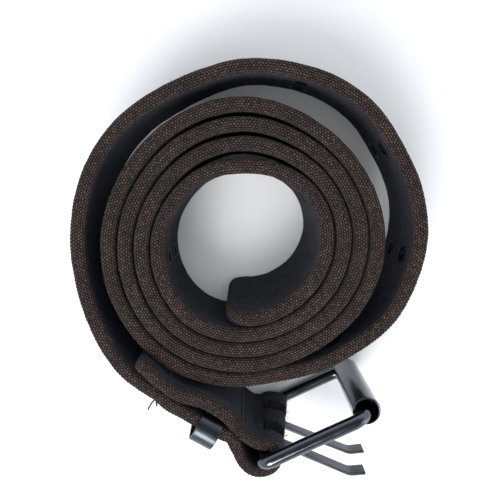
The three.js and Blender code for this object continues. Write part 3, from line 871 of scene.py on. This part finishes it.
def makeRoller():
    # thin rolled tube with eased rims and the seam where its edges meet
    outer, wall, half = buckle["roller"], buckle["rollerWall"], buckle["rollerLength"] / 2
    inner = outer - wall
    rim = [(inner + 0.02, half - 0.35), (inner + 0.1, half - 0.12), (inner + 0.28, half),
           (outer - 0.28, half), (outer - 0.1, half - 0.1), (outer, half - 0.32)]
    rows = [(outer, z) for z in np.linspace(half - 2, 2 - half, 12)]
    back = [(r, -z) for r, z in reversed(rim)]
    profile = rim + rows + back + [(inner, z) for z in np.linspace(2 - half, half - 2, 12)]
    sides = 64
    points = []
    for r, z in profile:
        for j in range(sides):
            dent = 0.22 if j == 40 and r > inner + 0.2 else 0
            x, y = rollerAt + direction(360 * j / sides) * (r - dent)
            points.append((x, y, buckle["middle"] + z))
    thing = addObject("roller", points, gridFaces(len(profile), sides, True, turn=True), nickelWire)
    finishMetal(thing, "roller", "roller")


def strip(path, width, thick, ease, closed=False):
    # flat strip swept along a path in the x-y plane, its width along z, with eased edges
    path = np.asarray(path, float)
    t = np.roll(path, -1, 0) - np.roll(path, 1, 0)
    if not closed:
        t[0], t[-1] = path[1] - path[0], path[-1] - path[-2]
    t /= np.linalg.norm(t, axis=1, keepdims=True)
    n = np.stack([-t[:, 1], t[:, 0]], 1)
    section = []
    for sx, sz, start in ((1, 1, 0), (-1, 1, 90), (-1, -1, 180), (1, -1, 270)):
        for k in range(4):
            a = math.radians(start + 30 * k)
            section.append((sx * (thick / 2 - ease) + ease * math.cos(a),
                            sz * (width / 2 - ease) + ease * math.sin(a)))
    points = []
    for k in range(len(path)):
        inset = 0.0 if closed or 0 < k < len(path) - 1 else ease
        for across, up in section:
            a = across - math.copysign(min(inset, abs(across)), across)
            u = up - math.copysign(min(inset, abs(up)), up)
            points.append((path[k][0] + n[k][0] * a, path[k][1] + n[k][1] * a, u))
    count = len(section)
    faces = gridFaces(len(path), count, closed)
    if not closed:
        last = (len(path) - 1) * count
        faces += [tuple(reversed(range(count))), tuple(last + j for j in range(count))]
    return points, faces


prongShape = {"height": 7.0, "thick": 1.2, "bore": 3.0, "tip": 6.4, "tipBend": 29, "ease": 0.22}


def makeProngs():
    shape = prongShape
    middle = shape["bore"] + shape["thick"] / 2
    for name, place in prongs.items():
        path = [direction(a) * middle for a in np.arange(402, 90, -6)]
        path += [np.array([x, middle]) for x in np.linspace(0, place["reach"] - 1.6, 14)]
        corner = np.array([place["reach"], middle])
        tipWay = direction(shape["tipBend"])
        for f in (0.15, 0.3, 0.5, 0.7, 0.85, 1.0):
            a, b = corner - [1.6, 0], corner + tipWay * 1.6
            path.append((1 - f) ** 2 * a + 2 * f * (1 - f) * corner + f * f * b)
        path += [corner + tipWay * d for d in (3.0, 4.6, shape["tip"] - shape["ease"], shape["tip"])]
        points, faces = strip(path, shape["height"], shape["thick"], shape["ease"])
        points = placed(points, place["angle"], *bar, place["z"])
        thing = addObject(name, points, faces, nickelStrip)
        finishMetal(thing, place["body"], name, 50)


keeperShape = {
    "width": 9.2, "band": 1.0, "depth": 12.0, "height": 56.4, "corner": 5.9, "ease": 0.28,
    "angle": -29.962225,
}


def makeKeeper():
    shape = keeperShape
    low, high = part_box("keeper")
    cx, cy = [(low[i] + high[i]) / 2 / mm - coilMiddle[i] for i in (0, 1)]
    cz = (low[2] + high[2]) / 2 / mm
    b = shape["band"] / 2
    d, h, r = shape["depth"] / 2 - b, shape["height"] / 2 - b, shape["corner"] - b
    path = []
    for sx, sy, start in ((1, 1, 0), (-1, 1, 90), (-1, -1, 180), (1, -1, 270)):
        for k in range(11):
            a = math.radians(start + 9 * k)
            path.append((sx * (d - r) + r * math.cos(a), sy * (h - r) + r * math.sin(a)))
        ex, ey = path[-1]
        nx, ny = {0: (r - d, h), 90: (-d, r - h), 180: (d - r, -h), 270: (d, h - r)}[start]
        path += [(ex + (nx - ex) * k / 9, ey + (ny - ey) * k / 9) for k in range(1, 9)]
    points, faces = strip(path, shape["width"], shape["band"], shape["ease"], closed=True)
    # drawn flat: depth along x, height along y, width along z
    points = np.asarray(points)[:, [2, 0, 1]]
    points = placed(points, shape["angle"], cx, cy, cz)
    thing = addObject("keeper", points, faces, nickelSheet)
    finishMetal(thing, "keeper", "keeper", 50)


makeFray()
makeFrame()
makeRoller()
makeProngs()
makeKeeper()
print("loose fibres, buckle and keeper made")

# the camera's place from the middle of the coil, and how far its view leans from straight down
view = {
    "fromCoil": (0.78, 25.14), "height": 288.5, "lens": 45.648,
    "leanX": -0.00788644, "leanY": 0.12618297,
}


def makeCamera():
    camera = bpy.data.objects.new("camera", bpy.data.cameras.new("camera"))
    bpy.context.collection.objects.link(camera)
    camera.data.lens = view["lens"]
    camera.data.sensor_width = 36
    camera.data.clip_start = 0.01
    down = np.array([view["leanX"], view["leanY"], -1.0])
    up = -down / np.linalg.norm(down)
    across = np.array([1.0, 0, 0]) - up[0] * up
    across /= np.linalg.norm(across)
    turn = np.array([across, np.cross(up, across), up])
    foot = coilMiddle + view["fromCoil"]
    place = Matrix.Translation([c * mm for c in (*foot, view["height"])])
    camera.matrix_world = place @ Matrix(turn.tolist()).to_4x4()
    bpy.context.scene.camera = camera


def addLight(name, place, target, size, power, sizeY=None):
    lamp = bpy.data.lights.new(name, "AREA")
    lamp.energy = power
    lamp.shape = "RECTANGLE"
    lamp.size = size
    lamp.size_y = sizeY or size
    thing = bpy.data.objects.new(name, lamp)
    bpy.context.collection.objects.link(thing)
    away = Vector(place) - Vector(target)
    thing.matrix_world = Matrix.Translation(place) @ away.to_track_quat("Z", "Y").to_matrix().to_4x4()
    return thing


# a soft key from the front, a weak side light, and a broad top light that fills the shadows
studio = {
    "keyPlace": (-0.2, -0.45, 0.75), "keySize": 0.45, "keyPower": 6.5,
    "sidePlace": (0.75, -0.3, 0.22), "sideWidth": 0.2, "sideHeight": 0.6, "sidePower": 0.8,
    "topPlace": (0.0, 0.12, 1.0), "topSize": 0.9, "topPower": 5,
    "tint": "#e9eff8", "wallTop": 0.12, "ceiling": 0.85, "wallLight": 1.3, "overhead": 0.2,
    "floor": "#f4f5f6", "floorReach": 3.0,
}


def makeStage():
    mesh = bpy.data.meshes.new("floor")
    corners = [(x * studio["floorReach"], y * studio["floorReach"], 0)
               for x, y in ((-1, -1), (1, -1), (1, 1), (-1, 1))]
    mesh.from_pydata(corners, [], [(0, 1, 2, 3)])
    material, tree = newMaterial("paleFloor")
    shader = addNode(tree, "ShaderNodeBsdfPrincipled", sockets={
        "Base Color": toLinear(studio["floor"]), "Roughness": 0.8, "Specular IOR Level": 0.1})
    addNode(tree, "ShaderNodeOutputMaterial", sockets={"Surface": shader})
    mesh.materials.append(material)
    floor = bpy.data.objects.new("floor", mesh)
    bpy.context.collection.objects.link(floor)
    addLight("keyLight", studio["keyPlace"], (0, 0, 0), studio["keySize"], studio["keyPower"])
    addLight("sideLight", studio["sidePlace"], (0, 0, 0.03), studio["sideWidth"],
             studio["sidePower"], studio["sideHeight"])
    # the bright metal is kept from mirroring the top light
    top = addLight("topLight", studio["topPlace"], (0, 0, 0), studio["topSize"], studio["topPower"])
    top.visible_glossy = False
    bpy.context.scene.view_settings.view_transform = "Standard"


def makeSky():
    # a studio room: dim overhead, brighter towards its walls
    world = bpy.data.worlds.new("studio")
    world.use_nodes = True
    tree = world.node_tree
    tree.nodes.clear()
    heading = addNode(tree, "ShaderNodeTexCoord").outputs["Generated"]
    rise = addNode(tree, "ShaderNodeSeparateXYZ", sockets={"Vector": heading}).outputs["Z"]
    height = addNode(tree, "ShaderNodeMapRange", {"interpolation_type": "SMOOTHSTEP"}, {
        "Value": rise, "From Min": studio["wallTop"], "From Max": studio["ceiling"],
        "To Min": studio["wallLight"], "To Max": studio["overhead"]})
    light = addNode(tree, "ShaderNodeBackground", sockets={
        "Color": toLinear(studio["tint"]), "Strength": height})
    addNode(tree, "ShaderNodeOutputWorld", sockets={"Surface": light})
    bpy.context.scene.world = world


makeCamera()
makeStage()
makeSky()
print("stage made")
